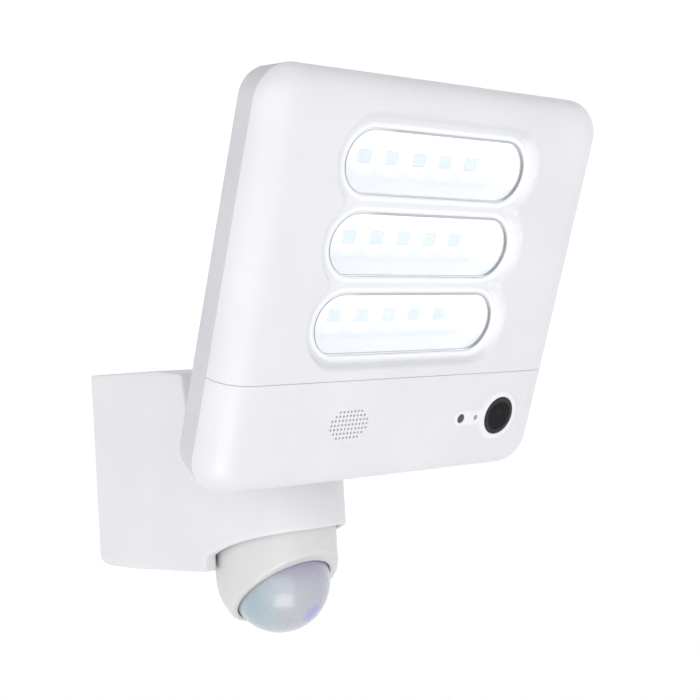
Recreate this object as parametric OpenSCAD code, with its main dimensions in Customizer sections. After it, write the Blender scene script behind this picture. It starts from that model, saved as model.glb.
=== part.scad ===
// Wall-mounted LED floodlight with a camera, a speaker and a motion sensor.
// Millimetres. The origin is the centre of the wall face: +Y points into the wall,
// -Y is the front, +Z is up and +X is to the right of someone who faces the wall.

/* [Bracket] */
// Width of the bracket at the wall
bracket_w = 115; // [113:1:120]
// Height of the bracket
bracket_h = 106; // [105:1:109]
// Radius of the bracket's round nose
nose_r = 38; // [37.8:0.1:39]
// Distance from the wall to the axis of the nose and of the motion sensor
nose_y = 85.6; // [85:0.1:87]
// Angle of the sides where they run into the nose
nose_taper = 15; // [13:0.5:15]
// Wall thickness of the bracket housing
bracket_wall = 2.6; // [2.2:0.1:2.8]
// Height of the shelf that carries the lamp's swivel
shelf_z = 4; // [3:0.5:4]
// Distance from the wall to the front of the upper block
block_y = 69; // [66:0.5:70]

/* [Swivel] */
// Distance from the wall to the pan axis
pan_y = 98; // [97:0.5:99]
// Radius of the swivel's hub
hub_r = 18; // [15:0.5:18]
// Distance from the wall to the tilt axis
tilt_y = 139; // [138:0.5:141]
// Height of the tilt axis
tilt_z = 50; // [48:0.5:52]
// Radius of the tilt knuckle and of its ears
knuckle_r = 11; // [9:0.5:11.5]
// Radius of the tilt bolt
bolt_r = 4; // [3:0.5:4]

/* [Lamp head] */
// Width of the head
head_w = 211.2; // [210:0.2:215]
// Height of the head
head_h = 193.2; // [192:0.1:197]
// Forward lean of the head
head_tilt = 21.5; // [20:0.5:22]
// Distance from the wall to the middle of the face
face_y = 208.8; // [208:0.1:211]
// Height of the middle of the face
face_z = 80.3; // [79.5:0.1:82]
// Radius of the head's corners
corner_r = 18; // [17.8:0.2:22]
// Wall thickness of the head's covers
cover_wall = 2.4; // [2:0.1:2.6]
// Position of the seam between the two front covers, up the face
seam_v = -41.5; // [-42:0.25:-41]

/* [Lights] */
// Length of a light window
window_l = 114.2; // [110:0.2:115]
// Height of a light window
window_h = 30; // [28:0.5:30]
// Distance between the middles of the windows
window_pitch = 37.6; // [37:0.1:38]
// Position of the middle window, up the face
window_v = 21.5; // [20.5:0.1:22]
// LEDs behind each window
led_count = 5; // [3:1:5]
// Distance between the LEDs
led_pitch = 17; // [15:0.5:18]

/* [Camera and speaker] */
// Position of the camera across the face
camera_u = 71.6; // [70:0.1:73]
// Position of the camera up the face
camera_v = -64.95; // [-66:0.05:-64]
// Radius of the camera's black bezel
bezel_r = 10; // [9.5:0.1:10.5]
// Position of the speaker across the face
speaker_u = -29.7; // [-32:0.1:-24]
// Position of the speaker up the face
speaker_v = -63.25; // [-65:0.05:-62]
// Distance between the holes of the speaker grille
grille_pitch = 2.16; // [2:0.02:2.3]

/* [Motion sensor] */
// Radius of the sensor's holder
collar_r = 32.7; // [32.4:0.1:33]
// Radius of the sensor's dome
dome_r = 26.8; // [26:0.1:27]
// Angle of the dome below the horizontal
gaze = 52; // [48:1:56]

/* [Wall plate] */
// Distance between the wall screws across the plate
screw_span_x = 84; // [80:1:86]
// Distance between the wall screws up the plate
screw_span_z = 76; // [74:1:78]
// Radius of the holes for the wall screws
wall_hole_r = 2.75; // [2.25:0.25:3]

/* [Hidden] */
$fn = 96;

// Clearance between a shaft and its hole, and between bodies that move
fit_gap = 0.06;
body_gap = 0.3;
// How far a cut runs past the face it opens
past = 1;

// Outline of the bracket in plan: a round nose, and sides that are large arcs
side_fn = 720;
taper_n = [cos(nose_taper), -sin(nose_taper)];
tangent_p = [0, -nose_y] + nose_r * taper_n;
side_chord = [bracket_w / 2, 0] - tangent_p;
side_r = -(side_chord * side_chord) / (2 * side_chord * taper_n);
side_c = tangent_p - side_r * taper_n;
heel_r = 8;
block_lean = 5;
crown_l = 16;
crown_drop = 2.5;
reach = 140;
half_h = bracket_h / 2;

// Arch under the nose, where the sensor's holder comes out
arch_r = 147;
arch_y = 139.5;
arch_top = -31.8;
arch_step_y = 78;

// Pocket for the sensor's holder
pocket_r = 34.4;
pocket_wall = 2.4;
pocket_top = -20;
ceiling_t = 3;

// Sensor holder, its neck and the eye inside it
collar_top = -24;
collar_low = -57.8;
neck_r = 16;
neck_top = -10;
wire_bore_r = 7;
eye_c = [0, -nose_y - 1.8, -62.6];
socket_r = dome_r + 0.4;
aperture_d = 6;
dome_t = 1;
skirt_d = 8;
eye_pin_r = 2.2;
eye_pin_end = 30;

// Wall plate and what it carries
plate_t = 3;
plate_inset = 3.4;
entry_c = [28, -34];
entry_r = 4.5;
lug_x = 12;
lug_y = 9;
board_y = 20;
board_t = 1.6;
board_size = [70, 58];
board_low = -14;
post_x = 30;
post_z = [-8, 38];

// Swivel
stem_r = 9;
washer_top = 6;
hub_top = 20;
knuckle_w = 26;
ear_t = 6;
ear_x = 15;

// Head: depths are measured behind the face
pillow_w = 17.6;
pillow_power = 2.2;
cover_d = 14;
rear_d = 33.8;
recess_d = 5.8;
recess_top = 6.4;
recess_floor = 3.5;
recess_shift = [-2.2, 1.1];
pane_d = 8.4;
rim_h = 0.4;
seal_w = 0.6;
seal_shift = 0.28;
bulge_c = [0, 21];
bulge_size = [150, 112];
head_screw_u = 88;
head_screw_v = [78, -30, -78];
boss_r = 3.5;
boss_meet = cover_d + 2;
face_turn = 90 + head_tilt;
tilt_from_face = [face_y - tilt_y, tilt_z - face_z];
tilt_v = -sin(head_tilt) * tilt_from_face[0] + cos(head_tilt) * tilt_from_face[1];
tilt_w = -cos(head_tilt) * tilt_from_face[0] - sin(head_tilt) * tilt_from_face[1];

// Colours
shell_white = [0.93, 0.93, 0.94];
bracket_white = [0.90, 0.90, 0.91];
ivory = [0.90, 0.89, 0.86];
board_green = [0.10, 0.35, 0.20];
black = [0.05, 0.05, 0.06];
steel = [0.72, 0.72, 0.74];

// ---------- Shared shapes ----------

// Extrudes a side profile, drawn as [y, z], across the width
module across(width) {
    rotate([90, 0, 90])
        linear_extrude(width, center = true)
            children();
}

// Extrudes an outline, drawn as [x, z], from one distance in front of the wall to another
module off_wall(from, to) {
    translate([0, -from, 0])
        rotate([90, 0, 0])
            linear_extrude(to - from)
                children();
}

// A bar, or a tube when it has an inner radius, along Z
module ring(outer, inner, low, high) {
    translate([0, 0, low])
        difference() {
            cylinder(r = outer, h = high - low);
            if (inner > 0)
                translate([0, 0, -past])
                    cylinder(r = inner, h = high - low + 2 * past);
        }
}

module box_between(low, high) {
    translate(low)
        cube(high - low);
}

// Puts the head's own frame in place: x across, y up the face, z out of the face
module on_head() {
    translate([0, -face_y, face_z])
        rotate([face_turn, 0, 0])
            children();
}

module stadium(length, height) {
    r = height / 2;
    square([length - height, height], center = true);
    for (side = [-1, 1])
        translate([side * (length / 2 - r), 0])
            circle(r = r);
}

// A slab with round corners: the children are the edge's section, drawn as
// [distance from the corner's axis, height], filled from the axis outwards
module slab(size, r, low, high) {
    run = [size[0] / 2 - r, size[1] / 2 - r];
    for (x = [-1, 1], y = [-1, 1])
        translate([x * run[0], y * run[1], 0])
            rotate_extrude()
                children();
    rotate([90, 0, 0])
        linear_extrude(2 * run[1], center = true)
            both_edges(run[0], low, high)
                children();
    rotate([90, 0, 90])
        linear_extrude(2 * run[0], center = true)
            both_edges(run[1], low, high)
                children();
}

module both_edges(run, low, high) {
    translate([-run, low])
        square([2 * run, high - low]);
    for (side = [0, 1])
        mirror([side, 0])
            translate([run, 0])
                children();
}

// ---------- Bracket ----------

module bracket_plan(inset, back) {
    arc_y = -nose_y - (nose_r - inset) * sin(nose_taper);
    translate([0, -nose_y])
        circle(r = nose_r - inset);
    intersection() {
        translate(side_c)
            circle(r = side_r - inset, $fn = side_fn);
        translate([-side_c[0], side_c[1]])
            circle(r = side_r - inset, $fn = side_fn);
        translate([-bracket_w / 2 - past, arc_y])
            square([bracket_w + 2 * past, back - arc_y]);
    }
}

// Outline at the wall: the lower corners are round
module wall_outline(inset) {
    w = bracket_w - 2 * inset;
    h = bracket_h - 2 * inset;
    r = heel_r - inset;
    translate([-w / 2, -h / 2 + r])
        square([w, h - r]);
    translate([-w / 2 + r, -h / 2])
        square([w - 2 * r, h]);
    for (side = [-1, 1])
        translate([side * (w / 2 - r), -h / 2 + r])
            circle(r = r);
}

// Space above the shelf and in front of the upper block
module scoop(inset) {
    across(bracket_w + 2 * past)
        polygon([
            [-reach, shelf_z - inset],
            [-block_y - block_lean + inset, shelf_z - inset],
            [-block_y + inset, half_h - crown_drop - inset],
            [-block_y + crown_l, half_h - inset],
            [-block_y + crown_l, half_h + past],
            [-reach, half_h + past]
        ]);
}

module bracket_form(inset = 0, back = 0) {
    difference() {
        intersection() {
            translate([0, 0, -half_h + inset])
                linear_extrude(bracket_h - 2 * inset)
                    bracket_plan(inset, back);
            off_wall(-back, reach)
                wall_outline(inset);
        }
        scoop(inset);
    }
}

module underside_arch(grow = 0) {
    intersection() {
        across(bracket_w)
            translate([-arch_y, arch_top - arch_r])
                circle(r = arch_r + grow, $fn = side_fn);
        box_between([-bracket_w / 2, -reach, -half_h - past], [bracket_w / 2, -arch_step_y + grow, 0]);
    }
}

module bracket_housing() {
    color(bracket_white)
        difference() {
            bracket_form();
            difference() {
                bracket_form(bracket_wall, past);
                translate([0, -nose_y, 0])
                    ring(pocket_r + pocket_wall, 0, -half_h, pocket_top + ceiling_t);
                underside_arch(bracket_wall);
            }
            underside_arch();
            translate([0, -nose_y, 0])
                ring(pocket_r, 0, -half_h - past, pocket_top);
            translate([0, -nose_y, 0])
                ring(neck_r, 0, pocket_top - past, pocket_top + ceiling_t + past);
            translate([0, -pan_y, 0])
                ring(stem_r, 0, shelf_z - bracket_wall - past, shelf_z + past);
            for (side = [-1, 1])
                translate([side * lug_x, -lug_y, 0])
                    ring(1.8, 0, -half_h - past, -half_h + bracket_wall + past);
        }
}

module wall_plate() {
    color(bracket_white)
        difference() {
            union() {
                off_wall(0, plate_t)
                    wall_outline(plate_inset);
                for (x = [-post_x, post_x], z = post_z)
                    off_wall(plate_t - past, board_y)
                        translate([x, z])
                            circle(r = 3.2);
                for (side = [-1, 1])
                    box_between(
                        [side * lug_x - 5, -lug_y - 5, -half_h + plate_inset],
                        [side * lug_x + 5, -plate_t + past, -half_h + 8.2]
                    );
            }
            for (x = [-1, 1], z = [-1, 1])
                off_wall(-past, plate_t + past)
                    translate([x * screw_span_x / 2, z * screw_span_z / 2])
                        circle(r = wall_hole_r);
            off_wall(-past, plate_t + past)
                translate(entry_c)
                    circle(r = 8);
            for (x = [-post_x, post_x], z = post_z)
                off_wall(board_y - 8, board_y + past)
                    translate([x, z])
                        circle(r = 1.3);
            for (side = [-1, 1])
                translate([side * lug_x, -lug_y, 0])
                    ring(1.65, 0, -half_h, -half_h + 9);
        }
}

// Rubber sleeve for the supply cable
module cable_grommet() {
    color([0.15, 0.15, 0.16])
        translate([entry_c[0], 0, entry_c[1]])
            rotate([90, 0, 0])
                rotate_extrude()
                    polygon([[entry_r, 0], [7.95, 0], [7.95, 3], [10.5, 3], [10.5, 5.5], [7.5, 5.5], [6, 12],
                        [entry_r, 12]]);
}

terminal_low = [-38, -26, -44];
terminal_high = [2, -plate_t, -24];
terminal_x = [-31, -18, -5];

module terminal_block() {
    color([0.85, 0.85, 0.80])
        difference() {
            box_between(terminal_low, terminal_high);
            for (x = terminal_x) {
                off_wall(18, 27)
                    translate([x, -31])
                        circle(r = 3);
                translate([x, -13, 0])
                    ring(2.2, 0, -45, -34);
            }
        }
}

module terminal_screws() {
    color(steel)
        for (x = terminal_x)
            difference() {
                off_wall(18, 24)
                    translate([x, -31])
                        circle(r = 2.8);
                box_between([x - 3, -25, -31.4], [x + 3, -22.8, -30.6]);
            }
}

module power_board() {
    color(board_green)
        difference() {
            box_between(
                [-board_size[0] / 2, -board_y - board_t, board_low],
                [board_size[0] / 2, -board_y, board_low + board_size[1]]
            );
            for (x = [-post_x, post_x], z = post_z)
                off_wall(board_y - past, board_y + board_t + past)
                    translate([x, z])
                        circle(r = 1.6);
        }
}

board_front = board_y + board_t;

module transformer() {
    color([0.85, 0.75, 0.30])
        union() {
            box_between([-24, -board_front - 22, 4], [8, -board_front - 3, 11]);
            box_between([-24, -board_front - 22, 27], [8, -board_front - 3, 34]);
            box_between([-20, -board_front - 20, 10], [4, -board_front - 5, 28]);
            box_between([-22, -board_front - 4, 6], [6, -board_front, 32]);
        }
}

module capacitors() {
    color([0.10, 0.12, 0.25])
        for (z = [8, 28])
            off_wall(board_front, board_front + 22)
                translate([20, z])
                    circle(r = 7);
}

module relay() {
    color([0.12, 0.30, 0.65])
        box_between([-26, -board_front - 15, -13], [-6, -board_front, -1]);
}

module board_screws() {
    color(steel)
        for (x = [-post_x, post_x], z = post_z)
            translate([x, -board_front, z])
                rotate([90, 0, 0]) {
                    ring(2.6, 0, 0, 1.6);
                    ring(1.25, 0, -8, past);
                }
}

module housing_screws() {
    color(steel)
        for (side = [-1, 1])
            translate([side * lug_x, -lug_y, -half_h]) {
                ring(1.6, 0, -past, 8);
                ring(3.2, 0, -1.8, 0);
            }
}

// ---------- Swivel ----------

module pan_washer() {
    color([0.20, 0.20, 0.22])
        translate([0, -pan_y, 0])
            ring(hub_r - 1, stem_r, shelf_z + body_gap, washer_top);
}

module pan_nut() {
    color(steel)
        translate([0, -pan_y, 0])
            ring(14, stem_r, -4, shelf_z - bracket_wall - body_gap);
}

// Hub on the shelf, and a neck that rises forwards to the tilt knuckle
module swivel_arm() {
    color(bracket_white)
        difference() {
            union() {
                translate([0, -pan_y, 0]) {
                    ring(stem_r - fit_gap, 0, -6.5, washer_top + past);
                    ring(hub_r, 0, washer_top, hub_top - 3);
                    translate([0, 0, hub_top - 3])
                        cylinder(r1 = hub_r, r2 = hub_r - 3, h = 3);
                }
                hull() {
                    translate([0, -pan_y, washer_top + 4])
                        cylinder(r = 12, h = hub_top - washer_top - 5, $fn = 32);
                    translate([0, -tilt_y, tilt_z])
                        rotate([0, 90, 0])
                            cylinder(r = knuckle_r - 0.5, h = knuckle_w - 2, center = true, $fn = 32);
                }
                translate([0, -tilt_y, tilt_z])
                    rotate([0, 90, 0])
                        cylinder(r = knuckle_r, h = knuckle_w, center = true);
            }
            translate([0, -tilt_y, tilt_z])
                rotate([0, 90, 0])
                    cylinder(r = bolt_r + fit_gap, h = knuckle_w + 2 * past, center = true);
            translate([0, -pan_y, 0])
                ring(5, 0, -8, 16);
        }
}

// Turns children so that their Z axis is the tilt axis
module at_tilt_axis() {
    translate([0, -tilt_y, tilt_z])
        rotate([0, 90, 0])
            children();
}

module tilt_bolt() {
    color(steel)
        at_tilt_axis() {
            ring(bolt_r, 0, -ear_x - ear_t - past, ear_x + ear_t + 6);
            difference() {
                ring(7, 0, -ear_x - ear_t - 5, -ear_x - ear_t);
                translate([0, 0, -ear_x - ear_t - 6])
                    cylinder(r = 3.2, h = 4, $fn = 6);
            }
        }
}

module tilt_nut() {
    color(steel)
        at_tilt_axis()
            translate([0, 0, ear_x + ear_t])
                difference() {
                    cylinder(r = 7.6, h = 5, $fn = 6);
                    translate([0, 0, -past])
                        cylinder(r = bolt_r + fit_gap, h = 5 + 2 * past);
                }
}

module tilt_washers() {
    color([0.20, 0.20, 0.22])
        at_tilt_axis()
            for (side = [0, 1])
                mirror([0, 0, side])
                    ring(knuckle_r - 1, bolt_r + fit_gap, knuckle_w / 2 + body_gap, ear_x);
}

// ---------- Head shells ----------

// Section of the front covers' rounded edge: a quarter of a superellipse
module pillow_edge(inset, bottom) {
    steps = 18;
    middle = [corner_r - pillow_w, -cover_d];
    reach_out = [pillow_w - inset, cover_d - inset];
    polygon(concat(
        [[0, bottom]],
        [for (k = [0:steps])
            let (turn = 90 * k / steps)
                middle + [
                    reach_out[0] * pow(cos(turn), 2 / pillow_power),
                    reach_out[1] * pow(sin(turn), 2 / pillow_power)
                ]],
        [[0, -inset]]
    ));
}

module pillow(inset, bottom) {
    slab([head_w, head_h], corner_r, bottom, -inset)
        pillow_edge(inset, bottom);
}

module pillow_shell() {
    difference() {
        pillow(0, -cover_d);
        pillow(cover_wall, -cover_d);
    }
}

// Space above or below the seam, less half of the seam's gap
module above_seam(side) {
    gap = 0.15;
    translate([0, seam_v + side * (gap + head_h), 0])
        cube([head_w + 10, 2 * head_h, 4 * rear_d], center = true);
}

function window_at(i) = window_v + (1 - i) * window_pitch;

module at_window(i) {
    translate([0, window_at(i), 0])
        children();
}

module cover_bosses(rows) {
    for (u = [-head_screw_u, head_screw_u], v = rows)
        translate([u, v, 0])
            ring(boss_r, 0, -boss_meet + 0.15, -cover_wall + 0.5);
}

module cover_pilots(rows) {
    for (u = [-head_screw_u, head_screw_u], v = rows)
        translate([u, v, 0])
            ring(1.5, 0, -boss_meet - past, -5);
}

// A stadium that widens or narrows from one level to another
module tray(low_r, high_r, low, high) {
    run = window_l - window_h;
    for (side = [-1, 1])
        translate([side * run / 2, 0, low])
            cylinder(r1 = low_r, r2 = high_r, h = high - low);
    across(run)
        polygon([[-low_r, low], [low_r, low], [high_r, high], [-high_r, high]]);
}

// Recess round one window: its side slopes down to the window's rim
module recess(grow) {
    low_r = window_h / 2 + recess_floor + grow;
    high_r = window_h / 2 + recess_top + grow;
    slope = (high_r - low_r) / recess_d;
    translate([recess_shift[0], recess_shift[1], 0])
        tray(low_r, high_r + slope * past, -recess_d, past);
}

module front_cover() {
    dish_rim = 2 * (recess_floor + cover_wall + 0.3);
    dish_clear = 1.6;
    color(shell_white)
        on_head()
            difference() {
                union() {
                    intersection() {
                        pillow_shell();
                        above_seam(1);
                    }
                    intersection() {
                        for (i = [0:2])
                            at_window(i)
                                union() {
                                    recess(cover_wall);
                                    translate([recess_shift[0], recess_shift[1], -pane_d])
                                        linear_extrude(pane_d - recess_d)
                                            stadium(window_l + dish_rim, window_h + dish_rim);
                                }
                        translate([-head_w / 2, -head_h, -2 * pane_d])
                            cube([head_w, 2 * head_h, 2 * pane_d - dish_clear]);
                    }
                    cover_bosses([head_screw_v[0], head_screw_v[1]]);
                }
                difference() {
                    for (i = [0:2])
                        at_window(i)
                            recess(0);
                    for (i = [0:2])
                        at_window(i)
                            translate([0, 0, -recess_d - past])
                                linear_extrude(past + rim_h)
                                    stadium(window_l + 5, window_h + 5);
                }
                for (i = [0:2])
                    at_window(i)
                        translate([0, 0, -pane_d - past])
                            linear_extrude(pane_d + 2 * past)
                                stadium(window_l, window_h);
                cover_pilots([head_screw_v[0], head_screw_v[1]]);
            }
}

sensor_u = camera_u - 27.4;
status_u = camera_u - 16.9;
ring_h = 0.8;
grille_rows = [7, 9, 11, 11, 11, 9, 7];

module lower_cover() {
    color(shell_white)
        on_head()
            difference() {
                union() {
                    intersection() {
                        pillow_shell();
                        above_seam(-1);
                    }
                    cover_bosses([head_screw_v[2]]);
                    translate([camera_u, camera_v, 0])
                        ring(bezel_r + 3, 0, -past, ring_h);
                    translate([(camera_u + sensor_u) / 2, camera_v, -past])
                        linear_extrude(past + ring_h)
                            stadium(camera_u - sensor_u + 8, 8);
                }
                translate([camera_u, camera_v, 0]) {
                    ring(bezel_r + 0.1, 0, 0, ring_h + past);
                    ring(8.2, 0, -cover_wall - past, past);
                }
                translate([sensor_u, camera_v, 0])
                    ring(2.4, 0, -cover_wall - past, 2);
                translate([status_u, camera_v, 0])
                    ring(1.3, 0, -cover_wall - past, 2);
                for (row = [0:6], column = [1:grille_rows[row]])
                    translate([
                        speaker_u + (column - (grille_rows[row] + 1) / 2) * grille_pitch,
                        speaker_v + (row - 3) * grille_pitch,
                        0
                    ])
                        ring(0.5, 0, -cover_wall - past, past);
                cover_pilots([head_screw_v[2]]);
            }
}

// Section of the rear housing's edge: it draws in towards the back
module rear_edge() {
    polygon([
        [0, -cover_d], [corner_r, -cover_d], [corner_r - 4.2, -rear_d + 3.5],
        [corner_r - 7.7, -rear_d], [0, -rear_d]
    ]);
}

module rear_edge_inside() {
    polygon([
        [0, -cover_d + past], [corner_r - 2.5, -cover_d + past], [corner_r - 6.6, -rear_d + 4.5],
        [corner_r - 9.6, -rear_d + cover_wall], [0, -rear_d + cover_wall]
    ]);
}

bulge_r = 20;
bulge_d = 45.8;
rib_count = 9;

module bulge_edge() {
    polygon([
        [0, -rear_d + 1], [bulge_r, -rear_d + 1], [bulge_r, -rear_d], [bulge_r - 4, -bulge_d + 3],
        [bulge_r - 7, -bulge_d], [0, -bulge_d]
    ]);
}

module bulge_edge_inside() {
    polygon([
        [0, -rear_d + 4], [bulge_r - 2.4, -rear_d + 4], [bulge_r - 2.4, -rear_d],
        [bulge_r - 6.2, -bulge_d + 3.8], [bulge_r - 8.5, -bulge_d + cover_wall], [0, -bulge_d + cover_wall]
    ]);
}

// One ear's outline, drawn as [up the face, out of the face]
module ear_outline() {
    translate([tilt_v, tilt_w])
        circle(r = knuckle_r);
    polygon([
        [tilt_v - knuckle_r, tilt_w], [tilt_v + knuckle_r, tilt_w],
        [tilt_v + knuckle_r + 6, -rear_d + 1], [tilt_v - knuckle_r - 6, -rear_d + 1]
    ]);
}

module rear_housing() {
    rib_pitch = 14;
    color(shell_white)
        on_head()
            difference() {
                union() {
                    difference() {
                        union() {
                            slab([head_w, head_h], corner_r, -rear_d, -cover_d)
                                rear_edge();
                            translate(bulge_c)
                                slab(bulge_size, bulge_r, -bulge_d, -rear_d + 1)
                                    bulge_edge();
                        }
                        slab([head_w, head_h], corner_r, -rear_d + cover_wall, -cover_d + past)
                            rear_edge_inside();
                        translate(bulge_c)
                            slab(bulge_size, bulge_r, -bulge_d + cover_wall, -rear_d + 4)
                                bulge_edge_inside();
                    }
                    for (i = [0:rib_count - 1])
                        translate([(i - (rib_count - 1) / 2) * rib_pitch, bulge_c[1], -bulge_d - 1.5])
                            cube([2.4, 84, 5], center = true);
                    for (u = [-head_screw_u, head_screw_u], v = head_screw_v)
                        translate([u, v, 0])
                            ring(boss_r, 0, -rear_d + 0.5, -boss_meet - 0.15);
                    for (side = [-1, 1])
                        translate([side * (ear_x + ear_t / 2), 0, 0])
                            across(ear_t)
                                ear_outline();
                }
                translate([0, tilt_v, tilt_w])
                    rotate([0, 90, 0])
                        cylinder(r = bolt_r + fit_gap, h = 80, center = true);
                for (u = [-head_screw_u, head_screw_u], v = head_screw_v)
                    translate([u, v, 0]) {
                        ring(1.6, 0, -rear_d - past, -boss_meet + past);
                        ring(3.3, 0, -rear_d - past, -rear_d + 2.2);
                    }
            }
}

module rounded(size, r) {
    square([size[0] - 2 * r, size[1]], center = true);
    square([size[0], size[1] - 2 * r], center = true);
    for (x = [-1, 1], y = [-1, 1])
        translate([x * (size[0] / 2 - r), y * (size[1] / 2 - r)])
            circle(r = r);
}

// Gasket round the inside of the joint between the covers and the rear housing
module cover_seal() {
    inset = 3.2;
    width = 2;
    color([0.30, 0.30, 0.32])
        on_head()
            translate([0, 0, -cover_d - 1])
                linear_extrude(2)
                    difference() {
                        rounded([head_w - 2 * inset, head_h - 2 * inset], corner_r - inset);
                        rounded([head_w - 2 * (inset + width), head_h - 2 * (inset + width)],
                            corner_r - inset - width);
                    }
}

module head_screws() {
    color(steel)
        on_head()
            for (u = [-head_screw_u, head_screw_u], v = head_screw_v)
                translate([u, v, 0]) {
                    ring(1.45, 0, -rear_d + 2, -7);
                    ring(3, 0, -rear_d + 0.4, -rear_d + 2.2);
                }
}

// ---------- Lights ----------

module window_pane(i) {
    color([0.85, 0.92, 1.0, 0.45])
        on_head()
            at_window(i) {
                translate([-seal_shift, -seal_shift, -pane_d - 1])
                    linear_extrude(pane_d + 1 - recess_d + 0.2)
                        stadium(window_l - 2 * seal_w - 0.1, window_h - 2 * seal_w - 0.1);
                translate([0, 0, -pane_d - 1.6])
                    linear_extrude(1.5)
                        stadium(window_l + 5, window_h + 5);
            }
}

module window_upper() {
    window_pane(0);
}

module window_middle() {
    window_pane(1);
}

module window_lower() {
    window_pane(2);
}

// Thin seals between the panes and the front cover, thicker above and to the right
module window_seals() {
    color([0.25, 0.25, 0.27])
        on_head()
            for (i = [0:2])
                at_window(i)
                    translate([0, 0, -pane_d])
                        linear_extrude(pane_d - recess_d - 0.1)
                            difference() {
                                stadium(window_l - 0.1, window_h - 0.1);
                                translate([-seal_shift, -seal_shift])
                                    stadium(window_l - 2 * seal_w, window_h - 2 * seal_w);
                            }
}

reflector_front = -pane_d - 1.7;
reflector_back = -22.5;
led_size = [8, 5.8];

function led_at(i) = (i - (led_count - 1) / 2) * led_pitch;

// Tray whose walls close in towards the LEDs
module reflector(i) {
    mouth_r = window_h / 2 - 0.6;
    floor_r = mouth_r - 3.5;
    floor_d = reflector_back + 0.9;
    color([0.90, 0.92, 0.95])
        on_head()
            at_window(i)
                difference() {
                    union() {
                        translate([0, 0, reflector_back])
                            linear_extrude(reflector_front - reflector_back)
                                stadium(window_l + 1, window_h + 1);
                        translate([0, 0, reflector_front - 1.5])
                            linear_extrude(1.5)
                                stadium(window_l + 5, window_h + 5);
                    }
                    tray(floor_r, mouth_r, floor_d, reflector_front);
                    tray(mouth_r, mouth_r, reflector_front - 0.1, past);
                    for (k = [0:led_count - 1])
                        translate([led_at(k), 0, floor_d])
                            cube([led_size[0] + 0.5, led_size[1] + 0.5, 4], center = true);
                }
}

module reflector_upper() {
    reflector(0);
}

module reflector_middle() {
    reflector(1);
}

module reflector_lower() {
    reflector(2);
}

led_board_top = reflector_back - 0.1;

module led_board(i) {
    color([0.95, 0.95, 0.95])
        on_head()
            at_window(i)
                translate([0, 0, led_board_top - board_t / 2])
                    cube([104, 20, board_t], center = true);
}

module led_board_upper() {
    led_board(0);
}

module led_board_middle() {
    led_board(1);
}

module led_board_lower() {
    led_board(2);
}

module leds(i) {
    color([0.86, 0.90, 0.95])
        on_head()
            at_window(i)
                for (k = [0:led_count - 1])
                    translate([led_at(k), 0, led_board_top])
                        linear_extrude(1.2)
                            square(led_size, center = true);
}

module leds_upper() {
    leds(0);
}

module leds_middle() {
    leds(1);
}

module leds_lower() {
    leds(2);
}

module heat_sink() {
    top = led_board_top - board_t;
    fin_count = 15;
    color([0.75, 0.76, 0.78])
        on_head()
            union() {
                translate([-62, window_v - 58, top - 4])
                    cube([124, 116, 4]);
                for (i = [0:fin_count - 1])
                    translate([(i - (fin_count - 1) / 2) * 8, bulge_c[1], (top - 3.5 - bulge_d + 3.4) / 2])
                        cube([1.6, 88, bulge_d - 3.4 + top - 3.5], center = true);
            }
}

// ---------- Camera, sensors, speaker and boards ----------

module at_camera() {
    on_head()
        translate([camera_u, camera_v, 0])
            children();
}

// The glass lies just under the bezel's front
glass_r = 7.35;
glass_high = ring_h - 0.3;
glass_low = glass_high - 1.2;

module camera_bezel() {
    color(black)
        at_camera()
            rotate_extrude()
                polygon([
                    [glass_r + 0.3, ring_h], [bezel_r - 0.3, ring_h],
                    [bezel_r, ring_h - 0.3], [bezel_r, 0.02],
                    [8.1, 0.02], [8.1, -2.4], [6.6, -2.4], [6.6, glass_low - 0.05],
                    [glass_r + 0.05, glass_low - 0.05], [glass_r + 0.05, glass_high]
                ]);
}

module camera_glass() {
    color([0.10, 0.10, 0.12, 0.6])
        at_camera()
            ring(glass_r, 0, glass_low, glass_high);
}

module lens_barrel() {
    color(black)
        at_camera()
            rotate_extrude()
                polygon([
                    [3.6, -4], [4.6, -2.6], [6.9, -2.6], [6.9, -16.9], [5.2, -16.9], [5.2, -5.2], [3.6, -5.2]
                ]);
}

// A lens with two round faces
module lens(r, bow, low, high) {
    ball_r = (r * r + bow * bow) / (2 * bow);
    rotate_extrude()
        intersection() {
            translate([0, low - bow])
                square([r, high - low + 2 * bow]);
            translate([0, high + bow - ball_r])
                circle(r = ball_r, $fn = side_fn);
            translate([0, low - bow + ball_r])
                circle(r = ball_r, $fn = side_fn);
        }
}

module front_lens() {
    color([0.55, 0.60, 0.75, 0.6])
        at_camera()
            lens(5.1, 0.9, -7.4, -6.4);
}

module rear_lens() {
    color([0.55, 0.60, 0.75, 0.6])
        at_camera()
            lens(5.1, 0.7, -12.6, -11.8);
}

module image_sensor() {
    color([0.20, 0.35, 0.30])
        at_camera()
            translate([0, 0, -17.6])
                cube([6.4, 6.4, 1.2], center = true);
}

camera_board_size = [25, 22, board_t];

module camera_board() {
    color(board_green)
        at_camera()
            translate([0, 0, -19])
                cube(camera_board_size, center = true);
}

module camera_holder() {
    color([0.16, 0.16, 0.18])
        at_camera()
            difference() {
                union() {
                    ring(10, 0, -16, -2.6);
                    translate([0, 0, -17])
                        cube(camera_board_size + [0, 0, 2 - board_t], center = true);
                }
                ring(7, 0, -20, 0);
            }
}

module face_button(u, r, height, flange_r) {
    on_head()
        translate([u, camera_v, 0]) {
            ring(r, 0, -cover_wall - 4, height);
            ring(flange_r, 0, -cover_wall - 1.6, -cover_wall - 0.1);
        }
}

module light_sensor() {
    color([0.12, 0.12, 0.14])
        face_button(sensor_u, 2.3, 0.5, 3.4);
}

module status_light() {
    color([0.60, 0.62, 0.65])
        face_button(status_u, 1.2, 0.6, 2.2);
}

module at_speaker() {
    on_head()
        translate([speaker_u, speaker_v, 0])
            children();
}

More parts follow.
